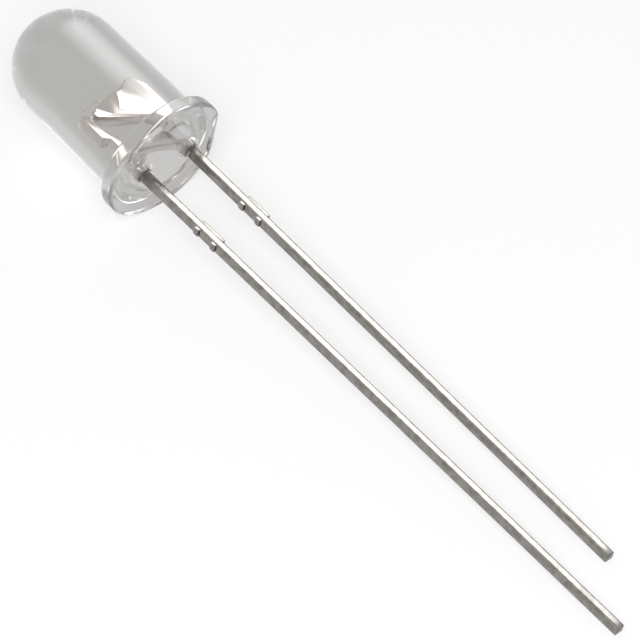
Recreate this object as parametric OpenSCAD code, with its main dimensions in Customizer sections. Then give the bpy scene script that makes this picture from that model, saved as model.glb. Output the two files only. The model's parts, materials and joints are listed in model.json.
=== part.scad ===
// Round through-hole lamp: a cast epoxy lens over a stamped lead frame, lying as it comes to rest.
// Each piece is drawn upright, with the seat of the flange at z = 0, the dome up and the leads down.
// The anode lead is on the -x side and the cathode lead on the +x side, next to the flat of the flange.
// lie_down() then lays the whole lamp on the rim of its flange and the tips of its two leads.

/* [Epoxy lens] */
// Diameter of the straight part of the barrel
barrel_d = 5.0; // [4.6:0.05:5.4]
// Height of the straight part of the barrel above the flange, which fills a panel hole
barrel_land = 1.6; // [1:0.1:2.4]
// How far the barrel draws in from its straight part to the dome, so that it leaves its mould
barrel_draft = 0.05; // [0:0.01:0.1]
// Height from the seat to the top of the dome
lens_h = 8.75; // [7.6:0.05:10.6]
// How far the flange stands proud of the barrel
flange_proud = 0.5; // [0.3:0.02:0.6]
// Thickness of the flange
flange_t = 0.66; // [0.6:0.02:1.4]
// Rounding of the upper edge of the flange
flange_edge_r = 0.15; // [0.05:0.01:0.25]
// Step left between the barrel and the flat that marks the cathode
flat_step = 0.24; // [0:0.02:0.26]

/* [Cast underside] */
// Depth of the dish that the epoxy leaves as it sets
dish_depth = 0.1; // [0.06:0.01:0.2]
// Width of the raised land round the dish
rim_land = 0.26; // [0.1:0.02:0.3]
// Radius of the curve between the dish and its land
dish_edge_r = 0.6; // [0.3:0.05:0.9]
// Height that the epoxy climbs each lead below the seat
collar_h = 0.25; // [0.15:0.05:0.8]
// Thickness of the epoxy collar where it runs out on the lead
collar_wall = 0.06; // [0.04:0.01:0.1]

/* [Leads] */
// Distance between the centre lines of the two leads at the seat
lead_pitch = 2.54; // [2.4:0.02:2.7]
// Width of a lead, across the sheet
lead_w = 0.42; // [0.36:0.01:0.48]
// Thickness of the sheet that the leads are stamped from
sheet_t = 0.45; // [0.4:0.01:0.5]
// Rounding of the long edges of a lead
lead_edge_r = 0.09; // [0.03:0.01:0.12]
// Length of the anode lead below the seat
anode_len = 28.3; // [24:0.1:34]
// Length of the cathode lead below the seat
cathode_len = 25.55; // [20:0.1:31]
// Angle by which the anode lead leans towards the cathode
anode_lean = 0.9; // [0:0.1:1.2]
// Angle by which the cathode lead leans away from the anode
cathode_lean = 0.1; // [0:0.1:1]

/* [Cut tie bar] */
// Depth below the seat of the upper edge of the cut tie bar
tie_top = 3.5; // [2.5:0.1:5]
// Height of the cut tie bar
tie_h = 1.3; // [0.9:0.05:1.7]
// Height that the cut stub stands proud of the lead
tie_stub = 0.09; // [0.04:0.01:0.12]
// Height of each of the two small lips on the other side of the lead
tie_lip_h = 0.28; // [0.15:0.01:0.35]

/* [Frame inside the lens] */
// Width of the shank of each lead inside the epoxy
shank_w = 0.5; // [0.48:0.01:0.56]
// Height of the lower end of the shank above the seat
shank_z = 0.3; // [0.25:0.01:0.4]
// Height of the shank
shank_h = 0.4; // [0.3:0.02:0.46]
// Height above the seat at which the necks have drawn in towards the axis
neck_z = 1.2; // [1.1:0.05:1.4]
// Distance from the axis to the outer edge of the anvil
anvil_out = 1.04; // [1:0.01:1.1]
// Width of the neck of the anvil
neck_w = 0.34; // [0.28:0.01:0.4]
// Height of the rim of the cup above the seat
anvil_top = 3.4; // [3.2:0.05:4]
// Height of the anvil's shoulder above the rim of the cup
shoulder_rise = 0.3; // [0.1:0.02:0.4]
// Width of the top of the shoulder
shoulder_w = 0.16; // [0.1:0.01:0.24]
// Width of the sheared corner of the shoulder
corner_w = 0.16; // [0.1:0.01:0.24]
// Height of the sheared corner of the shoulder
corner_h = 0.75; // [0.4:0.05:0.9]
// Height of the beak at its end, below the rim of the cup
beak_h = 0.38; // [0.34:0.01:0.46]
// Size of the sheared corner of the beak
beak_nose = 0.12; // [0.06:0.01:0.16]
// Distance from the axis to the outer edge of the foot of the post
foot_out = 0.98; // [0.92:0.01:1.04]
// Width of the foot of the post
foot_w = 0.28; // [0.24:0.01:0.32]
// Height of the top of the foot above the seat
foot_top = 1.8; // [1.6:0.05:2]
// Distance from the axis to the outer edge of the post
post_out = 1.24; // [1.2:0.01:1.3]
// Width of the post
post_w = 0.26; // [0.2:0.01:0.3]
// Height of the top of the post above the rim of the cup
post_rise = 0.1; // [0.05:0.05:0.3]

/* [Cup, die and bond] */
// How far the cup lies off the axis, towards the post
cup_shift = 0.12; // [0:0.01:0.14]
// Diameter of the mouth of the reflector cup
cup_mouth_d = 0.84; // [0.76:0.02:0.9]
// Diameter of the floor of the reflector cup
cup_floor_d = 0.5; // [0.46:0.01:0.54]
// Depth of the reflector cup
cup_depth = 0.4; // [0.36:0.02:0.44]
// Thickness of the wall of the cup at its mouth
cup_wall = 0.07; // [0.05:0.01:0.09]
// Height of the bowl that coining the cup pushes out of both faces of the sheet
bowl_h = 0.84; // [0.7:0.02:0.94]
// Width of the rim of the anvil on each side of the mouth of the cup
cup_rim = 0.21; // [0.16:0.01:0.24]
// Side of the square die
die_w = 0.28; // [0.22:0.01:0.3]
// Height of the die
die_h = 0.22; // [0.12:0.01:0.24]
// Thickness of the silver glue under the die
glue_t = 0.02; // [0.01:0.005:0.04]
// Width of the glue that squeezes out round the die
glue_margin = 0.04; // [0.02:0.01:0.06]
// Diameter of the bond wire
wire_d = 0.03; // [0.02:0.005:0.05]
// Diameter of the squashed ball that bonds the wire to the die
ball_d = 0.1; // [0.08:0.01:0.14]
// Height of the squashed ball
ball_h = 0.04; // [0.03:0.005:0.06]
// Height of the wire's loop above the top of the post
loop_h = 0.26; // [0.2:0.02:0.36]
// Radius of the bends in the wire
loop_r = 0.16; // [0.12:0.01:0.2]

/* [Hidden] */
$fn = 96;

barrel_r = barrel_d / 2;
crown_r = barrel_r - barrel_draft;
flange_r = barrel_r + flange_proud;
flat_x = barrel_r + flat_step;
dome_z = lens_h - crown_r;
land_z = flange_t + barrel_land;
anode_x = -lead_pitch / 2;
cathode_x = lead_pitch / 2;
shoulder_z = anvil_top + shoulder_rise;
post_top = anvil_top + post_rise;

// the die stands in the cup and the wire on the die, all on one line
cup_x = -cup_shift;
rim_reach = cup_mouth_d / 2 + cup_rim;
cup_floor_z = anvil_top - cup_depth;
die_z = cup_floor_z + glue_t;
ball_z = die_z + die_h;
wire_z = ball_z + ball_h;

// The lamp lies on one point of the flange's rim and on the two tips. The plane through them is
// y = c + slope_x * x + slope_z * z in the upright frame, where +y is the side that faces down.
tip_x_anode = anode_x + anode_len * sin(anode_lean);
tip_x_cathode = cathode_x + cathode_len * sin(cathode_lean);
tip_step = (anode_len * cos(anode_lean) - cathode_len * cos(cathode_lean)) / (tip_x_cathode - tip_x_anode);
tip_arm = anode_len * cos(anode_lean) + tip_step * (tip_x_anode + lead_w / 2);
rest_a = tip_arm * tip_arm - flange_r * flange_r * tip_step * tip_step;
rest_b = sheet_t * tip_arm;
rest_c = sheet_t * sheet_t / 4 - flange_r * flange_r;
slope_z = (sqrt(rest_b * rest_b - 4 * rest_a * rest_c) - rest_b) / (2 * rest_a);
slope_x = -slope_z * tip_step;
rest_pitch = atan(slope_z);
rest_roll = atan(slope_x * cos(rest_pitch));

module lie_down()
    rotate([rest_roll, 0, 0])
        rotate([0, rest_pitch, 0])
            rotate([0, 0, 90])
                rotate([-90, 0, 0])
                    children();

// Sheet metal cut to an outline in the plane of the two leads
module sheet_cut(outline)
    rotate([90, 0, 0])
        translate([0, 0, -sheet_t / 2])
            linear_extrude(height = sheet_t)
                polygon(outline);

// Section of a lead: a rectangle whose corners the rolling and plating have rounded
module lead_section() {
    square([lead_w, sheet_t - 2 * lead_edge_r], center = true);
    square([lead_w - 2 * lead_edge_r, sheet_t], center = true);
    for (sx = [-1, 1], sy = [-1, 1])
        translate([sx * (lead_w / 2 - lead_edge_r), sy * (sheet_t / 2 - lead_edge_r)])
            circle(r = lead_edge_r, $fn = 32);
}

// The outer lead hangs from the seat and keeps what is left of the cut tie bar
module outer_lead(length) {
    stub_t = sheet_t - 2 * lead_edge_r;
    translate([0, 0, -length])
        linear_extrude(height = length + shank_z + shank_h / 4)
            lead_section();
    translate([0, -stub_t / 2, -tie_top - tie_h])
        cube([lead_w / 2 + tie_stub, stub_t, tie_h]);
    for (z = [-tie_top - tie_lip_h, -tie_top - tie_h])
        translate([-lead_w / 2 - tie_stub, -stub_t / 2, z])
            cube([lead_w / 2 + tie_stub, stub_t, tie_lip_h]);
}

// Cone under the rim of the cup
module cup_cone(height, low_d, top_d)
    translate([cup_x, 0, anvil_top - height])
        cylinder(h = height, d1 = low_d, d2 = top_d);

// The anvil carries the cup beside its shoulder and draws in to a neck above the cathode lead
module cathode_form() {
    shank_in = cathode_x - shank_w / 2;
    shank_out = cathode_x + shank_w / 2;
    corner_x = anvil_out - corner_w;
    beak_x = cup_x - rim_reach;
    difference() {
        union() {
            sheet_cut([
                [shank_in, shank_z],
                [shank_out, shank_z],
                [shank_out, shank_z + shank_h],
                [anvil_out, neck_z],
                [anvil_out, shoulder_z - corner_h],
                [corner_x, shoulder_z],
                [corner_x - shoulder_w, shoulder_z],
                [cup_x + rim_reach, anvil_top],
                [beak_x + beak_nose, anvil_top],
                [beak_x, anvil_top - beak_nose],
                [beak_x, anvil_top - beak_h],
                [anvil_out - neck_w, neck_z],
                [shank_in, shank_z + shank_h / 2]
            ]);
            cup_cone(bowl_h, sheet_t, cup_mouth_d + 2 * cup_wall);
        }
        cup_cone(cup_depth, cup_floor_d, cup_mouth_d);
    }
    translate([cathode_x, 0, 0])
        rotate([0, -cathode_lean, 0])
            outer_lead(cathode_len);
}

// The post stands beside the anvil on a foot that is set in, and takes the far end of the bond wire
module anode_form() {
    shank_in = anode_x + shank_w / 2;
    shank_out = anode_x - shank_w / 2;
    foot_in = foot_w - foot_out;
    post_in = post_w - post_out;
    step_h = 1.2 * (post_out - foot_out);
    sheet_cut([
        [shank_out, shank_z],
        [shank_in, shank_z],
        [shank_in, shank_z + shank_h / 2],
        [foot_in, neck_z],
        [foot_in, foot_top],
        [post_in, foot_top + 2 * step_h],
        [post_in, post_top - post_w / 2],
        [post_in - post_w / 2, post_top],
        [-post_out, post_top],
        [-post_out, foot_top + step_h],
        [-foot_out, foot_top],
        [-foot_out, neck_z],
        [shank_out, shank_z + shank_h]
    ]);
    translate([anode_x, 0, 0])
        rotate([0, -anode_lean, 0])
            outer_lead(anode_len);
}

// The die stands on its glue, on the floor of the cup
module die_form()
    translate([cup_x - die_w / 2, -die_w / 2, die_z])
        cube([die_w, die_w, die_h]);

module die_attach_form()
    translate([cup_x, 0, cup_floor_z])
        cylinder(h = glue_t, d = die_w + 2 * glue_margin);

// Round wire from the origin along +z
module wire_run(length)
    cylinder(h = length, d = wire_d, $fn = 24);

// Bend in the wire, from the origin along +z and round towards -x
module wire_bend(angle)
    translate([-loop_r, 0, 0])
        rotate([-90, 0, 0])
            rotate([0, 0, -angle])
                rotate_extrude(angle = angle, $fn = 48)
                    translate([loop_r, 0])
                        circle(d = wire_d, $fn = 24);

// The wire rises from its ball, runs level over the beak and comes down to its stitch on the post.
// A knuckle a little thicker than the wire lies where the last bend meets the slanting run.
module bond_wire_form() {
    drop_angle = 35;
    stitch_x = 0.3 * post_w - post_out;
    stitch_z = post_top + wire_d / 2;
    loop_z = post_top + loop_h;
    slant = (loop_z - stitch_z - loop_r * (1 - cos(drop_angle))) / sin(drop_angle);
    slant_x = stitch_x + slant * cos(drop_angle);
    level_end_x = slant_x + loop_r * sin(drop_angle);
    translate([cup_x, 0, ball_z])
        cylinder(h = ball_h, d = ball_d, $fn = 32);
    translate([cup_x, 0, wire_z])
        wire_run(loop_z - loop_r - wire_z);
    translate([cup_x, 0, loop_z - loop_r])
        wire_bend(90);
    translate([cup_x - loop_r, 0, loop_z])
        rotate([0, -90, 0])
            wire_run(cup_x - loop_r - level_end_x);
    translate([level_end_x, 0, loop_z])
        rotate([0, -90, 0])
            wire_bend(drop_angle);
    translate([stitch_x, 0, stitch_z])
        rotate([0, 90 - drop_angle, 0])
            wire_run(slant);
    translate([slant_x, 0, stitch_z + slant * sin(drop_angle)])
        sphere(d = 1.04 * wire_d, $fn = 24);
    translate([stitch_x, 0, post_top])
        cylinder(h = 0.75 * wire_d, d = ball_d, $fn = 32);
}

// Outline of the flange with its flat, as a solid that reaches from z0 to z1
module flange_column(z0, z1)
    intersection() {
        translate([0, 0, z0])
            cylinder(h = z1 - z0, r = flange_r);
        translate([-2 * flange_r, -2 * flange_r, z0])
            cube([2 * flange_r + flat_x, 4 * flange_r, z1 - z0]);
    }

// The flange, with its upper edge rounded and its flat cut
module flange()
    intersection() {
        rotate_extrude()
            union() {
                square([flange_r, flange_t - flange_edge_r]);
                square([flange_r - flange_edge_r, flange_t]);
                translate([flange_r - flange_edge_r, flange_t - flange_edge_r])
                    circle(r = flange_edge_r, $fn = 32);
            }
        flange_column(0, flange_t);
    }

// The dish that is left in the underside, with a curved edge up to its land
module dish() {
    dish_r = flange_r - rim_land;
    floor_r = dish_r - sqrt(2 * dish_edge_r * dish_depth - dish_depth * dish_depth);
    reach = 2 * flange_r;
    intersection() {
        rotate_extrude() {
            translate([0, -dish_depth])
                square([dish_r, dish_depth]);
            square([floor_r, dish_depth]);
            intersection() {
                translate([floor_r, dish_depth - dish_edge_r])
                    circle(r = dish_edge_r);
                square([dish_r, dish_depth]);
            }
        }
        translate([-reach, -reach, -dish_depth])
            cube([reach + flat_x - rim_land, 2 * reach, 2 * dish_depth]);
    }
}

// Epoxy that climbed a lead while it was liquid, thickest at the dish and running out below the seat
module collar() {
    tip_r = norm([lead_w, sheet_t]) / 2 + collar_wall;
    climb = dish_depth + collar_h;
    rotate_extrude()
        difference() {
            translate([0, -collar_h])
                square([tip_r + climb, climb + dish_depth / 2]);
            translate([tip_r + climb, -collar_h])
                circle(r = climb);
        }
}

// The lens as cast, before the frame inside it is taken out
module lens_form() {
    difference() {
        union() {
            cylinder(h = land_z, r = barrel_r);
            translate([0, 0, land_z])
                cylinder(h = dome_z - land_z, r1 = barrel_r, r2 = crown_r);
            translate([0, 0, dome_z])
                sphere(r = crown_r);
            flange();
        }
        dish();
    }
    intersection() {
        union()
            for (x = [anode_x, cathode_x])
                translate([x, 0, 0])
                    collar();
        flange_column(-collar_h, flange_t);
    }
}

// The lens encloses the frame, the die and the wire without a gap
module epoxy_lens()
    color([0.8, 0.8, 0.82, 0.45])
        lie_down()
            difference() {
                lens_form();
                cathode_form();
                anode_form();
                die_form();
                die_attach_form();
                bond_wire_form();
            }

module cathode_lead()
    color("silver")
        lie_down()
            cathode_form();

module anode_lead()
    color("silver")
        lie_down()
            anode_form();

module die()
    color("dimgray")
        lie_down()
            die_form();

module die_attach()
    color("lightgray")
        lie_down()
            die_attach_form();

module bond_wire()
    color("goldenrod")
        lie_down()
            bond_wire_form();

epoxy_lens();
cathode_lead();
anode_lead();
die();
die_attach();
bond_wire();
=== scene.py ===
"""Dresses a clear round through-hole LED around its fixed frame.

Every piece is shaped upright, in its own millimetre frame: the seat of the flange at z = 0, the
dome up, the anode lead on the -x side and the cathode lead on the +x side. lay_down() then turns
its mesh into the frame in which the LED lies at rest.
"""
import json
import math

import bmesh
import bpy
from mathutils import Matrix, Vector


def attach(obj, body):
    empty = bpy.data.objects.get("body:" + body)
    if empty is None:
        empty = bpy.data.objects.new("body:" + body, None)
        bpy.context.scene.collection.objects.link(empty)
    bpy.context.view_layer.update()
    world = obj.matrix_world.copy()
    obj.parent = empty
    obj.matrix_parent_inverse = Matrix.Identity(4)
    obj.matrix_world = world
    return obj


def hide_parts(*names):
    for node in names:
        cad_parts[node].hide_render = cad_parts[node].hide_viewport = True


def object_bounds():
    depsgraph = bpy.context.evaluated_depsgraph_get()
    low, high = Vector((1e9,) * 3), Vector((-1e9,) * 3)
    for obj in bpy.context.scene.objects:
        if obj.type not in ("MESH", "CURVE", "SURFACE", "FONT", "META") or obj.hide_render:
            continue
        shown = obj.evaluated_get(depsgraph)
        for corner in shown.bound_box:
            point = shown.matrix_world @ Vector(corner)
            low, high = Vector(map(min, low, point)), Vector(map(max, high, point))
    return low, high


bl_info = {
    "name": "Through-hole LED",
    "version": (1, 0, 0),
    "blender": (4, 5, 0),
    "location": "View3D > Sidebar > LED",
    "description": "Builds the looks of a clear round through-hole LED on its fixed frame",
    "category": "Add Mesh",
}

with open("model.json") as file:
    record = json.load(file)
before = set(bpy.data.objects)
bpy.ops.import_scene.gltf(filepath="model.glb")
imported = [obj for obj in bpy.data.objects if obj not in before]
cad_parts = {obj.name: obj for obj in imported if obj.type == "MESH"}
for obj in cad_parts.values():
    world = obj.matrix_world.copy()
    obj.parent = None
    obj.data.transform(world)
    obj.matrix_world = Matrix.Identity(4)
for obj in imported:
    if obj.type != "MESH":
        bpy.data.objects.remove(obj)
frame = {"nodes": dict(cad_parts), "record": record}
cad_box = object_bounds()

MM = 0.001
BODY = "root"
SMOOTH_ANGLE = math.radians(32)
EDGE_R = 0.03  # in millimetres: what stamping and plating leave of the edges of the sheet
TIP_EASE = ((0.008, 0.96), (0.0, 0.9))  # millimetres from the tip, and the section's share there
COLOUR_A, COLOUR_B, COLOUR_OUT = 6, 7, 2  # the sockets that a Mix node has for colours
LIGHTS_AIM = Vector((8, 0, 0)) * MM  # near the middle of the LED, where the lights point


def mount(name):
    """One of the frame's stated mounts."""
    return next(m for m in frame["record"]["mounts"] if m["name"] == name)


def resting_axes():
    """Turns the upright frame into the resting one: its columns are the upright x, y and z."""
    up = -Vector(mount("lead_pair")["axis"]).normalized()
    across = -Vector(mount("seating_face")["pos_m"]).normalized()
    across = (across - up * across.dot(up)).normalized()
    return Matrix((across, up.cross(across), up)).transposed()


REST = resting_axes()


def lay_down(mesh):
    """Scales a mesh from millimetres to metres and turns it into the resting frame."""
    mesh.transform((REST * MM).to_4x4())


# Sizes and colours that a user would change


class LedLensSizes(bpy.types.PropertyGroup):
    """Sizes of the cast epoxy lens."""

    barrel_r: bpy.props.FloatProperty(
        name="Barrel radius", description="Radius of the straight part of the barrel",
        default=2.5 * MM, unit="LENGTH")
    crown_r: bpy.props.FloatProperty(
        name="Crown radius", description="Radius of the barrel and of the dome where they meet",
        default=2.45 * MM, unit="LENGTH")
    height: bpy.props.FloatProperty(
        name="Height", description="Height of the dome above the seat",
        default=8.75 * MM, unit="LENGTH")
    land_top: bpy.props.FloatProperty(
        name="Top of straight part", description="Height above the seat at which the taper starts",
        default=2.26 * MM, unit="LENGTH")
    flange_r: bpy.props.FloatProperty(
        name="Flange radius", description="Radius of the flange",
        default=3.0 * MM, unit="LENGTH")
    flange_t: bpy.props.FloatProperty(
        name="Flange thickness", description="Thickness of the flange",
        default=0.66 * MM, unit="LENGTH")
    flange_edge_r: bpy.props.FloatProperty(
        name="Flange edge", description="Rounding of the upper edge of the flange",
        default=0.15 * MM, unit="LENGTH")
    flange_root_r: bpy.props.FloatProperty(
        name="Flange root", description="Fillet between the barrel and the flange",
        default=0.2 * MM, unit="LENGTH")
    rim_r: bpy.props.FloatProperty(
        name="Rim edge", description="Rounding of the lower edge of the flange",
        default=0.14 * MM, unit="LENGTH")
    flat_x: bpy.props.FloatProperty(
        name="Flat", description="Distance from the axis to the flat",
        default=2.74 * MM, unit="LENGTH")
    rim_land: bpy.props.FloatProperty(
        name="Rim", description="Width of the land round the dish",
        default=0.26 * MM, unit="LENGTH")
    dish_depth: bpy.props.FloatProperty(
        name="Dish", description="Depth of the dished underside",
        default=0.1 * MM, unit="LENGTH")
    collar_h: bpy.props.FloatProperty(
        name="Collar", description="Height that the epoxy climbs a lead below the seat",
        default=0.25 * MM, unit="LENGTH")
    collar_r: bpy.props.FloatProperty(
        name="Collar radius", description="Outer radius of a collar where it leaves the dish",
        default=0.7 * MM, unit="LENGTH")


class LedFrameSizes(bpy.types.PropertyGroup):
    """Sizes of the stamped lead frame and of what it carries."""

    pitch: bpy.props.FloatProperty(
        name="Pitch", description="Distance between the leads at the seat",
        default=2.54 * MM, unit="LENGTH")
    lead_w: bpy.props.FloatProperty(
        name="Lead width", description="Width of a lead across the sheet",
        default=0.42 * MM, unit="LENGTH")
    sheet_t: bpy.props.FloatProperty(
        name="Sheet", description="Thickness of the stamped sheet",
        default=0.45 * MM, unit="LENGTH")
    roll_r: bpy.props.FloatProperty(
        name="Rolled edge", description="Rounding that the punch leaves on the upper edges",
        default=0.13 * MM, unit="LENGTH")
    burr_r: bpy.props.FloatProperty(
        name="Sharp edge", description="Rounding of the edges on the burr side",
        default=0.04 * MM, unit="LENGTH")
    anode_len: bpy.props.FloatProperty(
        name="Anode length", description="Length of the anode lead below the seat",
        default=28.3 * MM, unit="LENGTH")
    cathode_len: bpy.props.FloatProperty(
        name="Cathode length", description="Length of the cathode lead below the seat",
        default=25.55 * MM, unit="LENGTH")
    anode_lean: bpy.props.FloatProperty(
        name="Anode lean", description="Lean of the anode lead towards the cathode",
        default=math.radians(0.9), subtype="ANGLE")
    cathode_lean: bpy.props.FloatProperty(
        name="Cathode lean", description="Lean of the cathode lead away from the anode",
        default=math.radians(0.1), subtype="ANGLE")
    tie_top: bpy.props.FloatProperty(
        name="Tie bar", description="Depth of the cut tie bar below the seat",
        default=3.5 * MM, unit="LENGTH")
    tie_h: bpy.props.FloatProperty(
        name="Tie bar height", description="Height of the cut tie bar",
        default=1.3 * MM, unit="LENGTH")
    tie_stub: bpy.props.FloatProperty(
        name="Stub", description="Height that a cut stub stands proud",
        default=0.09 * MM, unit="LENGTH")
    tie_lip_h: bpy.props.FloatProperty(
        name="Lip", description="Height of each small lip",
        default=0.28 * MM, unit="LENGTH")
    shank_w: bpy.props.FloatProperty(
        name="Shank", description="Width of the shank of each lead inside the epoxy",
        default=0.5 * MM, unit="LENGTH")
    shank_z: bpy.props.FloatProperty(
        name="Shank height", description="Height above the seat at which the shank starts",
        default=0.3 * MM, unit="LENGTH")
    shank_h: bpy.props.FloatProperty(
        name="Shank length", description="Height of the shank",
        default=0.4 * MM, unit="LENGTH")
    neck_z: bpy.props.FloatProperty(
        name="Neck height", description="Height at which the necks have drawn in towards the axis",
        default=1.2 * MM, unit="LENGTH")
    neck_w: bpy.props.FloatProperty(
        name="Neck width", description="Width of the neck of the anvil",
        default=0.34 * MM, unit="LENGTH")
    anvil_out: bpy.props.FloatProperty(
        name="Anvil", description="Distance from the axis to the outer edge of the anvil",
        default=1.04 * MM, unit="LENGTH")
    anvil_top: bpy.props.FloatProperty(
        name="Anvil height", description="Height of the rim of the cup above the seat",
        default=3.4 * MM, unit="LENGTH")
    shoulder_rise: bpy.props.FloatProperty(
        name="Shoulder", description="Height of the anvil's shoulder above the rim of the cup",
        default=0.3 * MM, unit="LENGTH")
    shoulder_w: bpy.props.FloatProperty(
        name="Shoulder width", description="Width of the top of the shoulder",
        default=0.16 * MM, unit="LENGTH")
    corner_w: bpy.props.FloatProperty(
        name="Corner width", description="Width of the sheared corner of the shoulder",
        default=0.16 * MM, unit="LENGTH")
    corner_h: bpy.props.FloatProperty(
        name="Corner height", description="Height of the sheared corner of the shoulder",
        default=0.75 * MM, unit="LENGTH")
    beak_h: bpy.props.FloatProperty(
        name="Beak", description="Height of the beak at its end, below the rim of the cup",
        default=0.38 * MM, unit="LENGTH")
    beak_nose: bpy.props.FloatProperty(
        name="Beak corner", description="Size of the sheared corner of the beak",
        default=0.12 * MM, unit="LENGTH")
    cup_shift: bpy.props.FloatProperty(
        name="Cup shift", description="How far the cup lies off the axis, towards the post",
        default=0.12 * MM, unit="LENGTH")
    cup_mouth_r: bpy.props.FloatProperty(
        name="Cup mouth", description="Radius of the mouth of the cup",
        default=0.42 * MM, unit="LENGTH")
    cup_floor_r: bpy.props.FloatProperty(
        name="Cup floor", description="Radius of the floor of the cup",
        default=0.25 * MM, unit="LENGTH")
    cup_rim: bpy.props.FloatProperty(
        name="Cup rim", description="Width of the rim on each side of the mouth",
        default=0.21 * MM, unit="LENGTH")
    cup_depth: bpy.props.FloatProperty(
        name="Cup depth", description="Depth of the cup",
        default=0.4 * MM, unit="LENGTH")
    cup_wall: bpy.props.FloatProperty(
        name="Cup wall", description="Thickness of the wall of the cup at its mouth",
        default=0.07 * MM, unit="LENGTH")
    bowl_h: bpy.props.FloatProperty(
        name="Bowl", description="Height of the bowl that coining pushes out of the sheet",
        default=0.84 * MM, unit="LENGTH")
    foot_out: bpy.props.FloatProperty(
        name="Foot", description="Distance from the axis to the outer edge of the post's foot",
        default=0.98 * MM, unit="LENGTH")
    foot_w: bpy.props.FloatProperty(
        name="Foot width", description="Width of the foot of the post",
        default=0.28 * MM, unit="LENGTH")
    foot_top: bpy.props.FloatProperty(
        name="Foot height", description="Height of the top of the foot",
        default=1.8 * MM, unit="LENGTH")
    post_out: bpy.props.FloatProperty(
        name="Post", description="Distance from the axis to the outer edge of the post",
        default=1.24 * MM, unit="LENGTH")
    post_w: bpy.props.FloatProperty(
        name="Post width", description="Width of the post",
        default=0.26 * MM, unit="LENGTH")
    post_rise: bpy.props.FloatProperty(
        name="Post rise", description="Height of the top of the post above the rim of the cup",
        default=0.1 * MM, unit="LENGTH")


class LedStudio(bpy.types.PropertyGroup):
    """Sizes and strengths of the studio that the LED lies in."""

    floor_size: bpy.props.FloatProperty(
        name="Floor", description="Side of the square floor",
        default=1200 * MM, unit="LENGTH")
    room_strength: bpy.props.FloatProperty(
        name="Room light", description="Strength of the soft light from all round",
        default=0.45)
    box_size: bpy.props.FloatProperty(
        name="Soft box", description="Side of the square soft box",
        default=280 * MM, unit="LENGTH")
    box_strength: bpy.props.FloatProperty(
        name="Soft box strength", description="Strength of the soft box in its middle",
        default=5.7)
    front_size: bpy.props.FloatProperty(
        name="Front lamp", description="Side of the square front lamp",
        default=120 * MM, unit="LENGTH")
    front_power: bpy.props.FloatProperty(
        name="Front lamp power", description="Power of the front lamp",
        default=0.44, unit="POWER")


class LedColours(bpy.types.PropertyGroup):
    """Colours of the materials, as sRGB hex values."""

    # the grey tint is partly the epoxy's own and partly painted shade: it stands in for the
    # shadowed floor seen through the lens
    epoxy: bpy.props.StringProperty(
        name="Epoxy", description="Tint of the clear epoxy",
        default="CBCAC9")
    epoxy_depth: bpy.props.StringProperty(
        name="Epoxy, in depth", description="Colour that the epoxy lets through in depth",
        default="C8C8C4")
    tin: bpy.props.StringProperty(
        name="Tin", description="Dull bright tin on the outer leads",
        default="918E89")
    tin_dark: bpy.props.StringProperty(
        name="Tin, darker", description="Darker crystals and handling marks in the tin",
        default="7A7772")
    iron: bpy.props.StringProperty(
        name="Iron", description="Bare iron where the tips and the tie bar were cut",
        default="66625E")
    silver: bpy.props.StringProperty(
        name="Silver", description="Silver plate on the frame inside the lens",
        default="DDD6D2")
    die: bpy.props.StringProperty(
        name="Die", description="Semiconductor of the die",
        default="4A463E")
    gold: bpy.props.StringProperty(
        name="Gold", description="Gold of the wire and of the die's pad",
        default="E2C591")
    glue: bpy.props.StringProperty(
        name="Glue", description="Silver-filled glue",
        default="A9A8A6")
    floor: bpy.props.StringProperty(
        name="Floor", description="Pale floor",
        default="FDFDFD")


# Meshes


def new_piece(name, bm):
    """Makes an object of a bmesh, with its faces turned outwards, and frees the bmesh."""
    bmesh.ops.recalc_face_normals(bm, faces=bm.faces)
    mesh = bpy.data.meshes.new(name)
    bm.to_mesh(mesh)
    bm.free()
    piece = bpy.data.objects.new(name, mesh)
    bpy.context.scene.collection.objects.link(piece)
    return piece


def finish_piece(piece, material, node):
    """Shades, lays down and dresses a piece, and hides the CAD node whose place it takes."""
    piece.data.shade_smooth()
    piece.data.set_sharp_from_angle(angle=SMOOTH_ANGLE)
    lay_down(piece.data)
    piece.data.materials.clear()
    piece.data.materials.append(material)
    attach(piece, BODY)
    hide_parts(node)


def combine(piece, tools, operation):
    """Joins tools to a piece, or cuts them out of it, and deletes them."""
    for tool in tools:
        step = piece.modifiers.new("combine", "BOOLEAN")
        step.operation = operation
        step.solver = "EXACT"
        step.object = tool
    view = bpy.context.evaluated_depsgraph_get()
    mesh = bpy.data.meshes.new_from_object(piece.evaluated_get(view))
    if not mesh.polygons:
        raise RuntimeError(f"nothing is left of {piece.name}")
    piece.modifiers.clear()
    piece.data = mesh
    for tool in tools:
        bpy.data.objects.remove(tool)


def arc(centre, radius, start, end, steps):
    """Points on an arc from start to end, in degrees."""
    angles = [math.radians(start + (end - start) * i / steps) for i in range(steps + 1)]
    return [(centre[0] + radius * math.cos(a), centre[1] + radius * math.sin(a)) for a in angles]


def lathe(profile, angles, place):
    """Turns (radius, height) points about the axis; place(radius, height, angle) gives each corner.

    The first and last points lie on the axis.
    """
    bm = bmesh.new()
    first = bm.verts.new(place(*profile[0], 0.0))
    last = bm.verts.new(place(*profile[-1], 0.0))
    rings = [[bm.verts.new(place(r, z, a)) for a in angles] for r, z in profile[1:-1]]
    count = len(angles)
    for i in range(count):
        j = (i + 1) % count
        bm.faces.new((first, rings[0][i], rings[0][j]))
        bm.faces.new((last, rings[-1][j], rings[-1][i]))
        for upper, lower in zip(rings, rings[1:]):
            bm.faces.new((upper[i], lower[i], lower[j], upper[j]))
    return bm


def round_place(radius, height, angle):
    """Corner of a round shape about the z axis."""
    return Vector((radius * math.cos(angle), radius * math.sin(angle), height))


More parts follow.
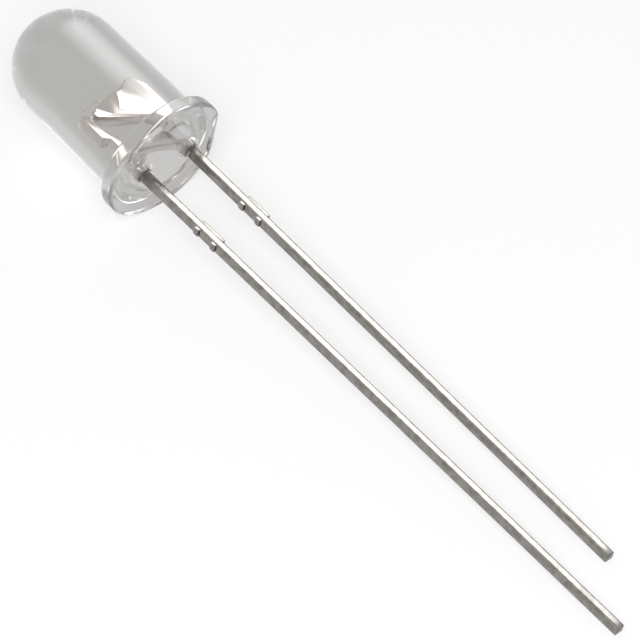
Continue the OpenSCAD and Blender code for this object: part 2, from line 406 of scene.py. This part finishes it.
def turned(name, outline, x, steps):
    """A round piece about an upright line at x."""
    bm = lathe(outline, [2 * math.pi * i / steps for i in range(steps)], round_place)
    bmesh.ops.translate(bm, vec=(x, 0, 0), verts=bm.verts)
    return new_piece(name, bm)


def sweep(section, x_axis, y_axis, stations):
    """Runs a closed section through stations of (origin, scale) and caps the ends."""
    bm = bmesh.new()
    rings = []
    for origin, scale in stations:
        rings.append([bm.verts.new(origin + x_axis * (x * scale) + y_axis * (y * scale))
                      for x, y in section])
    count = len(section)
    for near, far in zip(rings, rings[1:]):
        for i in range(count):
            j = (i + 1) % count
            bm.faces.new((near[i], near[j], far[j], far[i]))
    bm.faces.new(rings[0][::-1])
    bm.faces.new(rings[-1])
    return bm


def soften(bm):
    """Rounds every edge of a stamped shape."""
    bmesh.ops.bevel(bm, geom=bm.edges[:], offset=EDGE_R, segments=2, profile=0.5, affect="EDGES")


def block(low, high):
    """A stamped box between two corners."""
    bm = bmesh.new()
    bmesh.ops.create_cube(bm, size=1.0)
    size = Vector(high) - Vector(low)
    middle = (Vector(high) + Vector(low)) / 2
    bmesh.ops.scale(bm, vec=size, verts=bm.verts)
    bmesh.ops.translate(bm, vec=middle, verts=bm.verts)
    soften(bm)
    return bm


def plate(outline, thickness):
    """Sheet stamped to an outline in the plane y = 0."""
    bm = bmesh.new()
    front = [bm.verts.new((x, -thickness / 2, z)) for x, z in outline]
    back = [bm.verts.new((x, thickness / 2, z)) for x, z in outline]
    bm.faces.new(front)
    bm.faces.new(back[::-1])
    count = len(outline)
    for i in range(count):
        j = (i + 1) % count
        bm.faces.new((front[j], front[i], back[i], back[j]))
    bmesh.ops.recalc_face_normals(bm, faces=bm.faces)
    soften(bm)
    return bm


# Materials


def linear(hex_colour):
    """Linear RGBA of an sRGB hex colour."""
    channels = [int(hex_colour[i:i + 2], 16) / 255 for i in (0, 2, 4)]
    rgb = [c / 12.92 if c <= 0.04045 else ((c + 0.055) / 1.055) ** 2.4 for c in channels]
    return (*rgb, 1.0)


def add_node(tree, kind, settings=None, links=None):
    """Adds a shader node; settings fill its properties or sockets, links feed its sockets.

    A socket goes by its name or, where two share one, by its number.
    """
    node = tree.nodes.new(kind)
    for key, value in (settings or {}).items():
        if isinstance(key, str) and hasattr(node, key):
            setattr(node, key, value)
        else:
            node.inputs[key].default_value = value
    for key, source in (links or {}).items():
        tree.links.new(source, node.inputs[key])
    return node


def new_material(name):
    """A material with a bare output, and its tree."""
    material = bpy.data.materials.new(name)
    material.use_nodes = True
    material.node_tree.nodes.clear()
    return material, material.node_tree


def cast_clear_epoxy(colours):
    """Clear epoxy resin, cast in a polished mould: glassy, with a slight swell in its skin."""
    material, tree = new_material("clear epoxy, cast")
    place = add_node(tree, "ShaderNodeTexCoord")
    # about one swell in each millimetre, a thousandth or two of a millimetre high
    swell = add_node(tree, "ShaderNodeTexNoise", {"Scale": 0.9 / MM, "Detail": 1.0},
                     {"Vector": place.outputs["Object"]})
    bump = add_node(tree, "ShaderNodeBump", {"Strength": 0.08, "Distance": 0.02 * MM},
                    {"Height": swell.outputs["Fac"]})
    skin = add_node(tree, "ShaderNodeBsdfPrincipled", {
        # the grey tint is partly the epoxy's own and partly painted shade, for the shadowed floor
        # that shows through the lens
        "Base Color": linear(colours.epoxy),
        "Roughness": 0.06,
        "IOR": 1.53,
        "Transmission Weight": 1.0,
    }, {"Normal": bump.outputs["Normal"]})
    # what light loses on its way through a few millimetres of it
    depth = add_node(tree, "ShaderNodeVolumeAbsorption",
                     {"Color": linear(colours.epoxy_depth), "Density": 20.0})
    add_node(tree, "ShaderNodeOutputMaterial", None,
             {"Surface": skin.outputs["BSDF"], "Volume": depth.outputs["Volume"]})
    return material


def plated_leads(colours):
    """Iron strip, stamped and plated: dull bright tin outside the lens, white silver inside it."""
    material, tree = new_material("stamped iron, tin and silver plated")
    place = add_node(tree, "ShaderNodeTexCoord")
    split = add_node(tree, "ShaderNodeSeparateXYZ", None, {"Vector": place.outputs["Object"]})
    # the seat lies at x = 0, and the silver starts just inside the epoxy
    inside = add_node(tree, "ShaderNodeMapRange", {"From Min": 0.1 * MM, "From Max": -0.3 * MM},
                      {"Value": split.outputs["X"]})
    # tin crystals are about 0.15 mm across, and drawing lines run along the strip, about 0.03 mm
    # apart; one step of the noise holds a light grain and a dark one
    crystals = add_node(tree, "ShaderNodeTexNoise", {"Scale": 1 / (0.3 * MM), "Detail": 3.0},
                        {"Vector": place.outputs["Object"]})
    stretch = add_node(tree, "ShaderNodeMapping", {"Scale": (0.06, 1.0, 1.0)},
                       {"Vector": place.outputs["Object"]})
    lines = add_node(tree, "ShaderNodeTexNoise", {"Scale": 1 / (0.06 * MM), "Detail": 2.0},
                     {"Vector": stretch.outputs["Vector"]})
    spread = add_node(tree, "ShaderNodeMapRange", {"From Min": 0.35, "From Max": 0.6},
                      {"Value": crystals.outputs["Fac"]})
    tin = add_node(tree, "ShaderNodeMix",
                   {"data_type": "RGBA", COLOUR_A: linear(colours.tin_dark),
                    COLOUR_B: linear(colours.tin)},
                   {"Factor": spread.outputs["Result"]})
    # the cut ends face along the leads and show bare iron
    facing = add_node(tree, "ShaderNodeSeparateXYZ", None, {"Vector": place.outputs["Normal"]})
    cut = add_node(tree, "ShaderNodeMapRange", {"From Min": 0.6, "From Max": 0.9},
                   {"Value": facing.outputs["X"]})
    outside = add_node(tree, "ShaderNodeMix",
                       {"data_type": "RGBA", COLOUR_B: linear(colours.iron)},
                       {"Factor": cut.outputs["Result"], COLOUR_A: tin.outputs[COLOUR_OUT]})
    metal = add_node(tree, "ShaderNodeMix",
                     {"data_type": "RGBA", COLOUR_B: linear(colours.silver)},
                     {"Factor": inside.outputs["Result"], COLOUR_A: outside.outputs[COLOUR_OUT]})
    rough = add_node(tree, "ShaderNodeMapRange",
                     {"From Min": 0.3, "From Max": 0.7, "To Min": 0.17, "To Max": 0.24},
                     {"Value": crystals.outputs["Fac"]})
    both = add_node(tree, "ShaderNodeMath", {"operation": "ADD"},
                    {0: lines.outputs["Fac"], 1: crystals.outputs["Fac"]})
    # the silver is plated smoother than the tin
    relief = add_node(tree, "ShaderNodeMapRange", {"To Min": 0.12, "To Max": 0.02},
                      {"Value": inside.outputs["Result"]})
    bump = add_node(tree, "ShaderNodeBump", {"Distance": 0.006 * MM},
                    {"Height": both.outputs["Value"], "Strength": relief.outputs["Result"]})
    skin = add_node(tree, "ShaderNodeBsdfPrincipled", {"Metallic": 1.0}, {
        "Base Color": metal.outputs[COLOUR_OUT],
        "Roughness": rough.outputs["Result"],
        "Normal": bump.outputs["Normal"],
    })
    add_node(tree, "ShaderNodeOutputMaterial", None, {"Surface": skin.outputs["BSDF"]})
    return material


def sawn_die(colours):
    """Semiconductor, sawn from a wafer: dark and glossy, with sawing marks."""
    material, tree = new_material("semiconductor, sawn")
    place = add_node(tree, "ShaderNodeTexCoord")
    # saw marks are about 0.015 mm apart
    marks = add_node(tree, "ShaderNodeTexNoise", {"Scale": 1 / (0.03 * MM), "Detail": 2.0},
                     {"Vector": place.outputs["Object"]})
    spread = add_node(tree, "ShaderNodeMapRange", {"From Min": 0.5, "From Max": 0.9, "To Max": 0.4},
                      {"Value": marks.outputs["Fac"]})
    shade = add_node(tree, "ShaderNodeMix",
                     {"data_type": "RGBA", COLOUR_A: linear(colours.die),
                      COLOUR_B: linear(colours.glue)},
                     {"Factor": spread.outputs["Result"]})
    skin = add_node(tree, "ShaderNodeBsdfPrincipled", {"Roughness": 0.25, "IOR": 2.4},
                    {"Base Color": shade.outputs[COLOUR_OUT]})
    add_node(tree, "ShaderNodeOutputMaterial", None, {"Surface": skin.outputs["BSDF"]})
    return material


def silver_glue(colours):
    """Epoxy filled with silver flakes, dispensed and cured: grey and sparkling."""
    material, tree = new_material("silver-filled epoxy, cured")
    place = add_node(tree, "ShaderNodeTexCoord")
    # the flakes are about 0.012 mm across
    flakes = add_node(tree, "ShaderNodeTexVoronoi", {"Scale": 1 / (0.012 * MM)},
                      {"Vector": place.outputs["Object"]})
    rough = add_node(tree, "ShaderNodeMapRange", {"To Min": 0.3, "To Max": 0.6},
                     {"Value": flakes.outputs["Distance"]})
    skin = add_node(tree, "ShaderNodeBsdfPrincipled",
                    {"Base Color": linear(colours.glue), "Metallic": 0.6},
                    {"Roughness": rough.outputs["Result"]})
    add_node(tree, "ShaderNodeOutputMaterial", None, {"Surface": skin.outputs["BSDF"]})
    return material


def drawn_gold(colours):
    """Gold wire, drawn through a die: warm, bright and smooth."""
    material, tree = new_material("gold, drawn")
    place = add_node(tree, "ShaderNodeTexCoord")
    # drawing marks are finer than 0.001 mm, and are drawn at 0.01 mm so that they can show
    lines = add_node(tree, "ShaderNodeTexNoise", {"Scale": 1 / (0.02 * MM), "Detail": 1.0},
                     {"Vector": place.outputs["Object"]})
    rough = add_node(tree, "ShaderNodeMapRange", {"To Min": 0.15, "To Max": 0.3},
                     {"Value": lines.outputs["Fac"]})
    skin = add_node(tree, "ShaderNodeBsdfPrincipled",
                    {"Base Color": linear(colours.gold), "Metallic": 1.0},
                    {"Roughness": rough.outputs["Result"]})
    add_node(tree, "ShaderNodeOutputMaterial", None, {"Surface": skin.outputs["BSDF"]})
    return material


def seen_share(tree, share):
    """The share for rays that see the backdrop, straight or by metal or glass, 0 for the rest."""
    path = add_node(tree, "ShaderNodeLightPath")
    looks = add_node(tree, "ShaderNodeMath", {"operation": "MAXIMUM"},
                     {0: path.outputs["Is Camera Ray"], 1: path.outputs["Is Glossy Ray"]})
    looks = add_node(tree, "ShaderNodeMath", {"operation": "MAXIMUM"},
                     {0: looks.outputs["Value"], 1: path.outputs["Is Transmission Ray"]})
    return add_node(tree, "ShaderNodeMath", {"operation": "MULTIPLY", 1: share},
                    {0: looks.outputs["Value"]}).outputs["Value"]


def pale_floor(colours):
    """Card, coated matt white: it keeps a soft shadow and otherwise reads as a white backdrop."""
    material, tree = new_material("card, coated white")
    card = linear(colours.floor)
    skin = add_node(tree, "ShaderNodeBsdfPrincipled",
                    {"Base Color": card, "Roughness": 0.8, "Specular IOR Level": 0.1})
    glow = add_node(tree, "ShaderNodeEmission", {"Color": card, "Strength": 1.0})
    # the 0.4 that doesn't glow keeps the shadow
    both = add_node(tree, "ShaderNodeMixShader", None, {
        "Fac": seen_share(tree, 0.6), 1: skin.outputs["BSDF"], 2: glow.outputs["Emission"]})
    add_node(tree, "ShaderNodeOutputMaterial", None, {"Surface": both.outputs["Shader"]})
    return material


def studio_world(colours, strength):
    """Soft light from all round, which reads as the white backdrop where it is seen."""
    world = bpy.data.worlds.new("studio")
    world.use_nodes = True
    tree = world.node_tree
    tree.nodes.clear()
    card = linear(colours.floor)
    light = add_node(tree, "ShaderNodeBackground", {"Color": card, "Strength": strength})
    glow = add_node(tree, "ShaderNodeBackground", {"Color": card, "Strength": 1.0})
    both = add_node(tree, "ShaderNodeMixShader", None, {
        "Fac": seen_share(tree, 1.0), 1: light.outputs["Background"],
        2: glow.outputs["Background"]})
    add_node(tree, "ShaderNodeOutputWorld", None, {"Surface": both.outputs["Shader"]})
    return world


# Pieces


class LED_OT_epoxy_lens(bpy.types.Operator):
    """Build the cast clear lens with its flange, flat, dished underside and collars"""

    bl_idname = "led.epoxy_lens"
    bl_label = "Epoxy lens"

    def execute(self, context):
        sizes = context.scene.led_lens
        pitch = context.scene.led_frame.pitch / MM
        barrel_r, crown_r = sizes.barrel_r / MM, sizes.crown_r / MM
        flange_r, flange_t = sizes.flange_r / MM, sizes.flange_t / MM
        edge_r, flat_x = sizes.flange_edge_r / MM, sizes.flat_x / MM
        root_r, rim_r = sizes.flange_root_r / MM, sizes.rim_r / MM
        dome_z = sizes.height / MM - crown_r
        depth = sizes.dish_depth / MM
        dish_r = flange_r - sizes.rim_land / MM
        profile = arc((0, dome_z), crown_r, 90, 0, steps=48)
        # a ring close under the dome, so that the long tapered wall is shaded straight
        ring_drop = 0.05
        profile += [(crown_r, dome_z - ring_drop), (barrel_r, sizes.land_top / MM)]
        profile += arc((barrel_r + root_r, flange_t + root_r), root_r, 180, 270, steps=6)
        profile += arc((flange_r - edge_r, flange_t - edge_r), edge_r, 90, 0, steps=8)
        profile += arc((flange_r - rim_r, rim_r), rim_r, 0, -90, steps=4)
        # the dish is nearly level in its middle and curves up to the land, more so at a high power
        dish_steps, dish_power = 24, 5
        for i in range(dish_steps + 1):
            inward = 1 - i / dish_steps
            profile.append((dish_r * inward, depth * (1 - inward ** dish_power)))
        half_flat = math.acos(flat_x / flange_r)
        flat_steps, round_steps = 28, 164
        angles = [half_flat * (2 * i / flat_steps - 1) for i in range(flat_steps)]
        angles += [half_flat + (2 * math.pi - 2 * half_flat) * i / round_steps
                   for i in range(round_steps)]

        def place(radius, height, angle):
            """Draws the flange in to its flat, and leaves the barrel round."""
            reach = flange_r
            if math.cos(angle) * flange_r > flat_x:
                reach = flat_x / math.cos(angle)
            if height < flange_t + root_r and radius > barrel_r:
                radius = barrel_r + (radius - barrel_r) * (reach - barrel_r) / (flange_r - barrel_r)
            elif height <= depth:
                radius *= reach / flange_r
            return round_place(radius, height, angle)

        lens = new_piece("lens", lathe(profile, angles, place))
        collar_h = sizes.collar_h / MM
        collar_r = sizes.collar_r / MM
        climb = collar_h + depth
        collar_top = depth + 0.25  # inside the epoxy, so that the two join
        outline = [(0, -collar_h), (collar_r - climb, -collar_h)]
        outline += arc((collar_r, -collar_h), climb, 180, 90, steps=20)[1:]
        outline += [(collar_r, collar_top), (0, collar_top)]
        collars = [turned("collar", outline, x, steps=96) for x in (-pitch / 2, pitch / 2)]
        combine(lens, collars, "UNION")
        finish_piece(lens, cast_clear_epoxy(context.scene.led_colours), "epoxy_lens")
        return {"FINISHED"}


def lead_section(sizes):
    """Section of a lead: edges rolled over by the punch above (-y), and sharper ones below."""
    half_w, half_t = sizes.lead_w / MM / 2, sizes.sheet_t / MM / 2
    roll, burr = sizes.roll_r / MM, sizes.burr_r / MM
    points = arc((half_w - burr, half_t - burr), burr, 0, 90, steps=3)
    points += arc((-half_w + burr, half_t - burr), burr, 90, 180, steps=3)
    points += arc((-half_w + roll, -half_t + roll), roll, 180, 270, steps=6)
    points += arc((half_w - roll, -half_t + roll), roll, 270, 360, steps=6)
    return points


def outer_lead(name, sizes, x, length, lean):
    """A lead from inside its shank down to its cut tip, with what is left of the tie bar."""
    top = (sizes.shank_z + sizes.shank_h / 4) / MM
    reach = length / MM
    along = Vector((math.sin(lean), 0, -math.cos(lean)))
    across = Vector((math.cos(lean), 0, math.sin(lean)))
    depth_axis = Vector((0, 1, 0))
    seat = Vector((x, 0, 0))
    steps = 60
    stations = [(seat + along * (-top + (reach - EDGE_R + top) * i / steps), 1.0)
                for i in range(steps + 1)]
    stations += [(seat + along * (reach - short), scale) for short, scale in TIP_EASE]
    lead = new_piece(name, sweep(lead_section(sizes), across, depth_axis, stations))
    half_w = sizes.lead_w / MM / 2
    half_t = sizes.sheet_t / MM / 2 - sizes.burr_r / MM
    stub, tie_h = sizes.tie_stub / MM, sizes.tie_h / MM
    tie_z, lip_h = -sizes.tie_top / MM, sizes.tie_lip_h / MM
    turn = Matrix((across, depth_axis, -along)).transposed().to_4x4()
    stubs = [((0, -half_t, tie_z - tie_h), (half_w + stub, half_t, tie_z))]
    for z in (tie_z - lip_h, tie_z - tie_h):
        stubs.append(((-half_w - stub, -half_t, z), (0, half_t, z + lip_h)))
    tools = []
    for low, high in stubs:
        bm = block(low, high)
        bmesh.ops.transform(bm, matrix=Matrix.Translation(seat) @ turn, verts=bm.verts)
        tools.append(new_piece("stub", bm))
    return lead, tools


class LED_OT_cathode_lead(bpy.types.Operator):
    """Build the cathode lead with its shank, anvil and reflector cup"""

    bl_idname = "led.cathode_lead"
    bl_label = "Cathode lead"

    def execute(self, context):
        sizes = context.scene.led_frame
        x = sizes.pitch / MM / 2
        shank_in, shank_out = x - sizes.shank_w / MM / 2, x + sizes.shank_w / MM / 2
        shank_z, shank_h, neck_z = sizes.shank_z / MM, sizes.shank_h / MM, sizes.neck_z / MM
        anvil_out, neck_w = sizes.anvil_out / MM, sizes.neck_w / MM
        anvil_top, beak_h, nose = sizes.anvil_top / MM, sizes.beak_h / MM, sizes.beak_nose / MM
        shoulder_z = anvil_top + sizes.shoulder_rise / MM
        corner_x, corner_z = anvil_out - sizes.corner_w / MM, shoulder_z - sizes.corner_h / MM
        sheet_t, cup_x = sizes.sheet_t / MM, -sizes.cup_shift / MM
        mouth_r, floor_r = sizes.cup_mouth_r / MM, sizes.cup_floor_r / MM
        floor_z = anvil_top - sizes.cup_depth / MM
        reach = mouth_r + sizes.cup_rim / MM
        outline = [(shank_in, shank_z), (shank_out, shank_z), (shank_out, shank_z + shank_h),
                   (anvil_out, neck_z), (anvil_out, corner_z), (corner_x, shoulder_z),
                   (corner_x - sizes.shoulder_w / MM, shoulder_z), (cup_x + reach, anvil_top),
                   (cup_x - reach + nose, anvil_top), (cup_x - reach, anvil_top - nose),
                   (cup_x - reach, anvil_top - beak_h), (anvil_out - neck_w, neck_z),
                   (shank_in, shank_z + shank_h / 2)]
        lead, tools = outer_lead("cathode", sizes, x, sizes.cathode_len, sizes.cathode_lean)
        tools.append(new_piece("anvil", plate(outline, sheet_t)))
        bowl_r, bowl_z = mouth_r + sizes.cup_wall / MM, anvil_top - sizes.bowl_h / MM
        bowl = [(0, bowl_z), (sheet_t / 2, bowl_z), (bowl_r, anvil_top - EDGE_R),
                (bowl_r - EDGE_R, anvil_top), (0, anvil_top)]
        tools.append(turned("bowl", bowl, cup_x, steps=64))
        combine(lead, tools, "UNION")
        over = anvil_top + 0.5  # the cutter reaches past the rim
        cup = [(0, floor_z), (floor_r, floor_z), (mouth_r, anvil_top), (mouth_r, over), (0, over)]
        combine(lead, [turned("cup", cup, cup_x, steps=64)], "DIFFERENCE")
        finish_piece(lead, plated_leads(context.scene.led_colours), "cathode_lead")
        return {"FINISHED"}


class LED_OT_anode_lead(bpy.types.Operator):
    """Build the anode lead with its shank and post"""

    bl_idname = "led.anode_lead"
    bl_label = "Anode lead"

    def execute(self, context):
        sizes = context.scene.led_frame
        x = -sizes.pitch / MM / 2
        shank_in, shank_out = x + sizes.shank_w / MM / 2, x - sizes.shank_w / MM / 2
        shank_z, shank_h, neck_z = sizes.shank_z / MM, sizes.shank_h / MM, sizes.neck_z / MM
        foot_out, foot_top = sizes.foot_out / MM, sizes.foot_top / MM
        foot_in = sizes.foot_w / MM - foot_out
        post_out, post_w = sizes.post_out / MM, sizes.post_w / MM
        post_in = post_w - post_out
        post_top = (sizes.anvil_top + sizes.post_rise) / MM
        jog_slope = 1.2  # how steeply the foot steps out to the post
        step_h = jog_slope * (post_out - foot_out)
        outline = [(shank_out, shank_z), (shank_in, shank_z), (shank_in, shank_z + shank_h / 2),
                   (foot_in, neck_z), (foot_in, foot_top), (post_in, foot_top + 2 * step_h),
                   (post_in, post_top - post_w / 2), (post_in - post_w / 2, post_top),
                   (-post_out, post_top), (-post_out, foot_top + step_h), (-foot_out, foot_top),
                   (-foot_out, neck_z), (shank_out, shank_z + shank_h)]
        lead, tools = outer_lead("anode", sizes, x, sizes.anode_len, sizes.anode_lean)
        tools.append(new_piece("post", plate(outline, sizes.sheet_t / MM)))
        combine(lead, tools, "UNION")
        finish_piece(lead, plated_leads(context.scene.led_colours), "anode_lead")
        return {"FINISHED"}


class LED_OT_die_and_bond(bpy.types.Operator):
    """Dress the die, the glue under it and the wire bonded to it"""

    bl_idname = "led.die_and_bond"
    bl_label = "Die and bond"

    def execute(self, context):
        colours = context.scene.led_colours
        finishes = {"die": sawn_die, "die_attach": silver_glue, "bond_wire": drawn_gold}
        for node, finish in finishes.items():
            piece = frame["nodes"][node]
            piece.data.materials.clear()
            piece.data.materials.append(finish(colours))
        return {"FINISHED"}


class LED_OT_stage(bpy.types.Operator):
    """Set the pale floor, the soft lights and the camera"""

    bl_idname = "led.stage"
    bl_label = "Stage"

    def execute(self, context):
        studio, colours = context.scene.led_studio, context.scene.led_colours
        floor = self.square("floor", studio.floor_size, cad_box[0][2])
        floor.data.materials.append(pale_floor(colours))
        context.scene.world = studio_world(colours, studio.room_strength)
        self.soft_box(studio)
        self.front_lamp(context, studio)
        self.camera(context)
        context.scene.view_settings.view_transform = "Standard"
        # the epoxy sends light round inside itself many times before it lets it out
        paths = context.scene.cycles
        paths.max_bounces, paths.glossy_bounces, paths.transmission_bounces = 24, 20, 20
        return {"FINISHED"}

    def square(self, name, side, height=0.0):
        """A level square with its middle over or under the origin."""
        bm = bmesh.new()
        bmesh.ops.create_grid(bm, x_segments=1, y_segments=1, size=side / 2)
        bmesh.ops.translate(bm, vec=(0, 0, height), verts=bm.verts)
        return new_piece(name, bm)

    def face_led(self, light, place):
        """Stands a light at a place and turns it towards the LED."""
        light.location = place
        light.rotation_euler = (LIGHTS_AIM - place).to_track_quat("-Z", "Y").to_euler()

    def soft_box(self, studio):
        """A soft box behind the LED, brightest in its middle, seen only in gloss and glass."""
        box = self.square("soft_box", studio.box_size)
        material, tree = new_material("woven nylon, lit from behind")
        place = add_node(tree, "ShaderNodeTexCoord")
        outward = add_node(tree, "ShaderNodeVectorMath", {"operation": "LENGTH"},
                           {0: place.outputs["Object"]})
        fade = add_node(tree, "ShaderNodeMapRange",
                        {"interpolation_type": "SMOOTHSTEP", "From Max": studio.box_size / 2},
                        {"Value": outward.outputs["Value"]})
        glow = add_node(tree, "ShaderNodeEmission", {"Strength": studio.box_strength})
        clear = add_node(tree, "ShaderNodeBsdfTransparent")
        both = add_node(tree, "ShaderNodeMixShader", None, {
            "Fac": fade.outputs["Result"], 1: glow.outputs["Emission"], 2: clear.outputs["BSDF"]})
        add_node(tree, "ShaderNodeOutputMaterial", None, {"Surface": both.outputs["Shader"]})
        box.data.materials.append(material)
        self.face_led(box, Vector((-60, 120, 140)) * MM)
        box.visible_camera = box.visible_diffuse = False

    def front_lamp(self, context, studio):
        """A lamp in front of the LED, hidden from the camera, from gloss and from glass."""
        light = bpy.data.lights.new("front", "AREA")
        light.shape = "SQUARE"
        light.size = studio.front_size
        light.energy = studio.front_power
        lamp = bpy.data.objects.new("front", light)
        self.face_led(lamp, Vector((112, -103, 187)) * MM)
        lamp.visible_camera = lamp.visible_glossy = lamp.visible_transmission = False
        context.scene.collection.objects.link(lamp)

    def camera(self, context):
        """Stands the camera at the photograph's viewing angle."""
        azimuth, elevation, roll = math.radians(47.396), math.radians(50.852), math.radians(0.57)
        distance = 169.5 * MM
        aim = Vector((8.107, 1.321, -4.13)) * MM
        out = math.cos(elevation)
        back = Vector((math.sin(azimuth) * out, -math.cos(azimuth) * out, math.sin(elevation)))
        level = Vector((math.cos(azimuth), math.sin(azimuth), 0))
        up = back.cross(level)
        right = level * math.cos(roll) + up * math.sin(roll)
        up = back.cross(right)
        lens = bpy.data.cameras.new("camera")
        lens.sensor_width = 36
        lens.lens = 229.72
        lens.clip_start = 10 * MM
        eye = bpy.data.objects.new("camera", lens)
        eye.matrix_world = Matrix.Translation(aim + back * distance) @ Matrix(
            (right, up, back)).transposed().to_4x4()
        context.scene.collection.objects.link(eye)
        context.scene.camera = eye


class LED_PT_builder(bpy.types.Panel):
    """Lists the LED's pieces and stage in the sidebar"""

    bl_idname = "LED_PT_builder"
    bl_label = "LED"
    bl_space_type = "VIEW_3D"
    bl_region_type = "UI"
    bl_category = "LED"

    def draw(self, context):
        for operator in OPERATORS:
            self.layout.operator(operator.bl_idname)


GROUPS = {
    "led_lens": LedLensSizes,
    "led_frame": LedFrameSizes,
    "led_studio": LedStudio,
    "led_colours": LedColours,
}
OPERATORS = (
    LED_OT_stage,
    LED_OT_epoxy_lens,
    LED_OT_cathode_lead,
    LED_OT_anode_lead,
    LED_OT_die_and_bond,
)
CLASSES = (*GROUPS.values(), *OPERATORS, LED_PT_builder)


def register():
    """Registers the classes and gives the scene its groups of sizes and colours."""
    for cls in CLASSES:
        bpy.utils.register_class(cls)
    for name, group in GROUPS.items():
        setattr(bpy.types.Scene, name, bpy.props.PointerProperty(type=group))


def unregister():
    """Takes back what register() adds."""
    for name in GROUPS:
        delattr(bpy.types.Scene, name)
    for cls in reversed(CLASSES):
        bpy.utils.unregister_class(cls)


def main():
    register()
    bpy.ops.led.stage()
    bpy.ops.led.epoxy_lens()
    bpy.ops.led.cathode_lead()
    bpy.ops.led.anode_lead()
    bpy.ops.led.die_and_bond()


if __name__ == "__main__":
    main()
